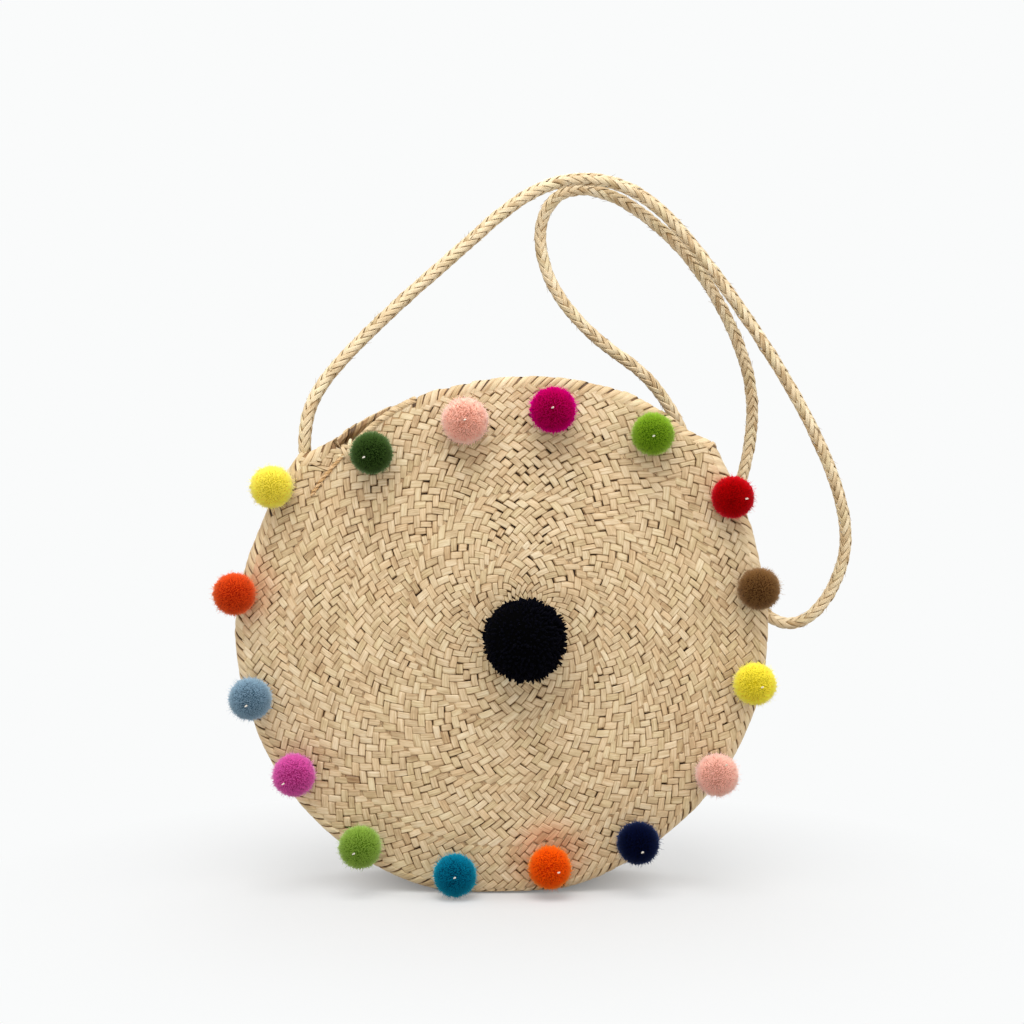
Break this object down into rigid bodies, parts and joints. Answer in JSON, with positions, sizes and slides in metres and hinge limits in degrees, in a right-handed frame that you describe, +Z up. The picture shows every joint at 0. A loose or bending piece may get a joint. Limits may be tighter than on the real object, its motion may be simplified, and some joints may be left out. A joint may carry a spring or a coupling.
{
  "type": "round woven shoulder bag",
  "caption": "Round shoulder bag of plaited palm leaf with domed faces, an open mouth along the top, a long braided strap and wool pompoms tied round the front face.",
  "frame": {"origin": "on the floor under the middle of the bag, at the centre of the flat where it stands", "axes": "+Z up, -Y out of the front face that carries the pompoms, +X to the right seen from the front"},
  "size_m": [0.4985, 0.2029, 0.5522],
  "materials": {
    "palm_plait": "dried palm leaf strips, plaited, dull with a faint waxy sheen",
    "palm_lacing": "twisted palm leaf lacing, dull",
    "palm_selvedge": "folded palm leaf edge, dull with a faint waxy sheen",
    "raffia_stitching": "twisted raffia, dull",
    "palm_braid": "round braid of palm leaf, dull with a faint waxy sheen",
    "tie_thread": "cotton thread, dull",
    "wool_yellow": "cut wool yarn, soft and dull",
    "wool_dark_green": "cut wool yarn, soft and dull",
    "wool_light_pink": "cut wool yarn, soft and dull",
    "wool_magenta": "cut wool yarn, soft and dull",
    "wool_lime": "cut wool yarn, soft and dull",
    "wool_red": "cut wool yarn, soft and dull",
    "wool_brown": "cut wool yarn, soft and dull",
    "wool_rose": "cut wool yarn, soft and dull",
    "wool_navy": "cut wool yarn, soft and dull",
    "wool_orange": "cut wool yarn, soft and dull",
    "wool_teal": "cut wool yarn, soft and dull",
    "wool_green": "cut wool yarn, soft and dull",
    "wool_violet": "cut wool yarn, soft and dull",
    "wool_blue_grey": "cut wool yarn, soft and dull",
    "wool_orange_red": "cut wool yarn, soft and dull",
    "wool_black": "cut wool yarn, soft and dull"
  },
  "bodies": {
    "bag": {"front_panel": "palm_plait", "back_panel": "palm_plait", "gusset_band": "palm_plait", "front_seam_cord": "palm_lacing", "back_seam_cord": "palm_lacing", "front_lip_edge": "palm_selvedge", "back_lip_edge": "palm_selvedge", "front_corner_stitching": "raffia_stitching", "back_corner_stitching": "raffia_stitching", "pompom_ties": "tie_thread"},
    "strap": {"strap": "palm_braid"},
    "pompom_yellow_left": {"pompom_yellow_left": "wool_yellow"},
    "pompom_dark_green": {"pompom_dark_green": "wool_dark_green"},
    "pompom_light_pink": {"pompom_light_pink": "wool_light_pink"},
    "pompom_magenta": {"pompom_magenta": "wool_magenta"},
    "pompom_lime": {"pompom_lime": "wool_lime"},
    "pompom_red": {"pompom_red": "wool_red"},
    "pompom_brown": {"pompom_brown": "wool_brown"},
    "pompom_yellow_right": {"pompom_yellow_right": "wool_yellow"},
    "pompom_rose": {"pompom_rose": "wool_rose"},
    "pompom_navy": {"pompom_navy": "wool_navy"},
    "pompom_orange": {"pompom_orange": "wool_orange"},
    "pompom_teal": {"pompom_teal": "wool_teal"},
    "pompom_green": {"pompom_green": "wool_green"},
    "pompom_violet": {"pompom_violet": "wool_violet"},
    "pompom_blue_grey": {"pompom_blue_grey": "wool_blue_grey"},
    "pompom_orange_red": {"pompom_orange_red": "wool_orange_red"},
    "pompom_centre": {"pompom_centre": "wool_black"}
  },
  "joints": [
    {"name": "strap_swing", "type": "hinge", "parent": "bag", "child": "strap", "pos_m": [-0.14842, -0.043, 0.32402], "axis": [0.9605, 0.2783, 0], "range_deg": [-12, 35], "stiffness_Nm_per_rad": 0.6},
    {"name": "tilt_yellow_left", "type": "hinge", "parent": "bag", "child": "pompom_yellow_left", "pos_m": [-0.16306, -0.04852, 0.29968], "axis": [-0.9081, 0.4188, 0], "range_deg": [-12, 12], "stiffness_Nm_per_rad": 0.02, "springref_deg": 2.07},
    {"name": "tilt_dark_green", "type": "hinge", "parent": "bag", "child": "pompom_dark_green", "pos_m": [-0.09409, -0.05312, 0.3274], "axis": [-0.998, 0.0634, 0], "range_deg": [-12, 12], "stiffness_Nm_per_rad": 0.02, "springref_deg": 2.14},
    {"name": "tilt_light_pink", "type": "hinge", "parent": "bag", "child": "pompom_light_pink", "pos_m": [-0.02607, -0.05361, 0.35077], "axis": [-0.9998, 0.0176, 0], "range_deg": [-12, 12], "stiffness_Nm_per_rad": 0.02, "springref_deg": 2.9},
    {"name": "tilt_magenta", "type": "hinge", "parent": "bag", "child": "pompom_magenta", "pos_m": [0.0381, -0.05249, 0.35874], "axis": [-0.9997, -0.0257, 0], "range_deg": [-12, 12], "stiffness_Nm_per_rad": 0.02, "springref_deg": 2.89},
    {"name": "tilt_lime", "type": "hinge", "parent": "bag", "child": "pompom_lime", "pos_m": [0.11112, -0.05063, 0.34139], "axis": [-0.9972, -0.0749, 0], "range_deg": [-12, 12], "stiffness_Nm_per_rad": 0.02, "springref_deg": 2.13},
    {"name": "tilt_red", "type": "hinge", "parent": "bag", "child": "pompom_red", "pos_m": [0.16591, -0.04902, 0.29312], "axis": [-0.9376, -0.3478, 0], "range_deg": [-12, 12], "stiffness_Nm_per_rad": 0.02, "springref_deg": 2.1},
    {"name": "tilt_brown", "type": "hinge", "parent": "bag", "child": "pompom_brown", "pos_m": [0.18744, -0.04977, 0.22805], "axis": [-0.9815, -0.1915, 0], "range_deg": [-12, 12], "stiffness_Nm_per_rad": 0.02, "springref_deg": 2.14},
    {"name": "tilt_yellow_right", "type": "hinge", "parent": "bag", "child": "pompom_yellow_right", "pos_m": [0.18556, -0.04997, 0.15893], "axis": [-0.9922, -0.1245, 0], "range_deg": [-12, 12], "stiffness_Nm_per_rad": 0.02, "springref_deg": 2.14},
    {"name": "tilt_rose", "type": "hinge", "parent": "bag", "child": "pompom_rose", "pos_m": [0.15787, -0.05007, 0.09248], "axis": [-0.9943, -0.1062, 0], "range_deg": [-12, 12], "stiffness_Nm_per_rad": 0.02, "springref_deg": 2.14},
    {"name": "tilt_navy", "type": "hinge", "parent": "bag", "child": "pompom_navy", "pos_m": [0.1003, -0.05082, 0.04288], "axis": [-0.9977, -0.0676, 0], "range_deg": [-12, 12], "stiffness_Nm_per_rad": 0.02, "springref_deg": 2.13},
    {"name": "tilt_orange", "type": "hinge", "parent": "bag", "child": "pompom_orange", "pos_m": [0.03578, -0.05187, 0.02523], "axis": [-0.9997, -0.0242, 0], "range_deg": [-12, 12], "stiffness_Nm_per_rad": 0.02, "springref_deg": 2.13},
    {"name": "tilt_teal", "type": "hinge", "parent": "bag", "child": "pompom_teal", "pos_m": [-0.03349, -0.05124, 0.01942], "axis": [-0.9997, 0.0226, 0], "range_deg": [-5, 12], "stiffness_Nm_per_rad": 0.02, "springref_deg": 2.13},
    {"name": "tilt_green", "type": "hinge", "parent": "bag", "child": "pompom_green", "pos_m": [-0.1027, -0.05034, 0.03984], "axis": [-0.9976, 0.0693, 0], "range_deg": [-12, 12], "stiffness_Nm_per_rad": 0.02, "springref_deg": 2.13},
    {"name": "tilt_violet", "type": "hinge", "parent": "bag", "child": "pompom_violet", "pos_m": [-0.15095, -0.05079, 0.09242], "axis": [-0.9948, 0.1015, 0], "range_deg": [-12, 12], "stiffness_Nm_per_rad": 0.02, "springref_deg": 2.14},
    {"name": "tilt_blue_grey", "type": "hinge", "parent": "bag", "child": "pompom_blue_grey", "pos_m": [-0.18309, -0.04997, 0.14799], "axis": [-0.9924, 0.1229, 0], "range_deg": [-12, 12], "stiffness_Nm_per_rad": 0.02, "springref_deg": 2.14},
    {"name": "tilt_orange_red", "type": "hinge", "parent": "bag", "child": "pompom_orange_red", "pos_m": [-0.19058, -0.04902, 0.22382], "axis": [-0.92, 0.392, 0], "range_deg": [-12, 12], "stiffness_Nm_per_rad": 0.02, "springref_deg": 2.14},
    {"name": "tilt_centre", "type": "hinge", "parent": "bag", "child": "pompom_centre", "pos_m": [0.01603, -0.06191, 0.19244], "axis": [-0.9999, -0.0108, 0], "range_deg": [-8, 8], "stiffness_Nm_per_rad": 0.2, "springref_deg": 2.13}
  ]
}
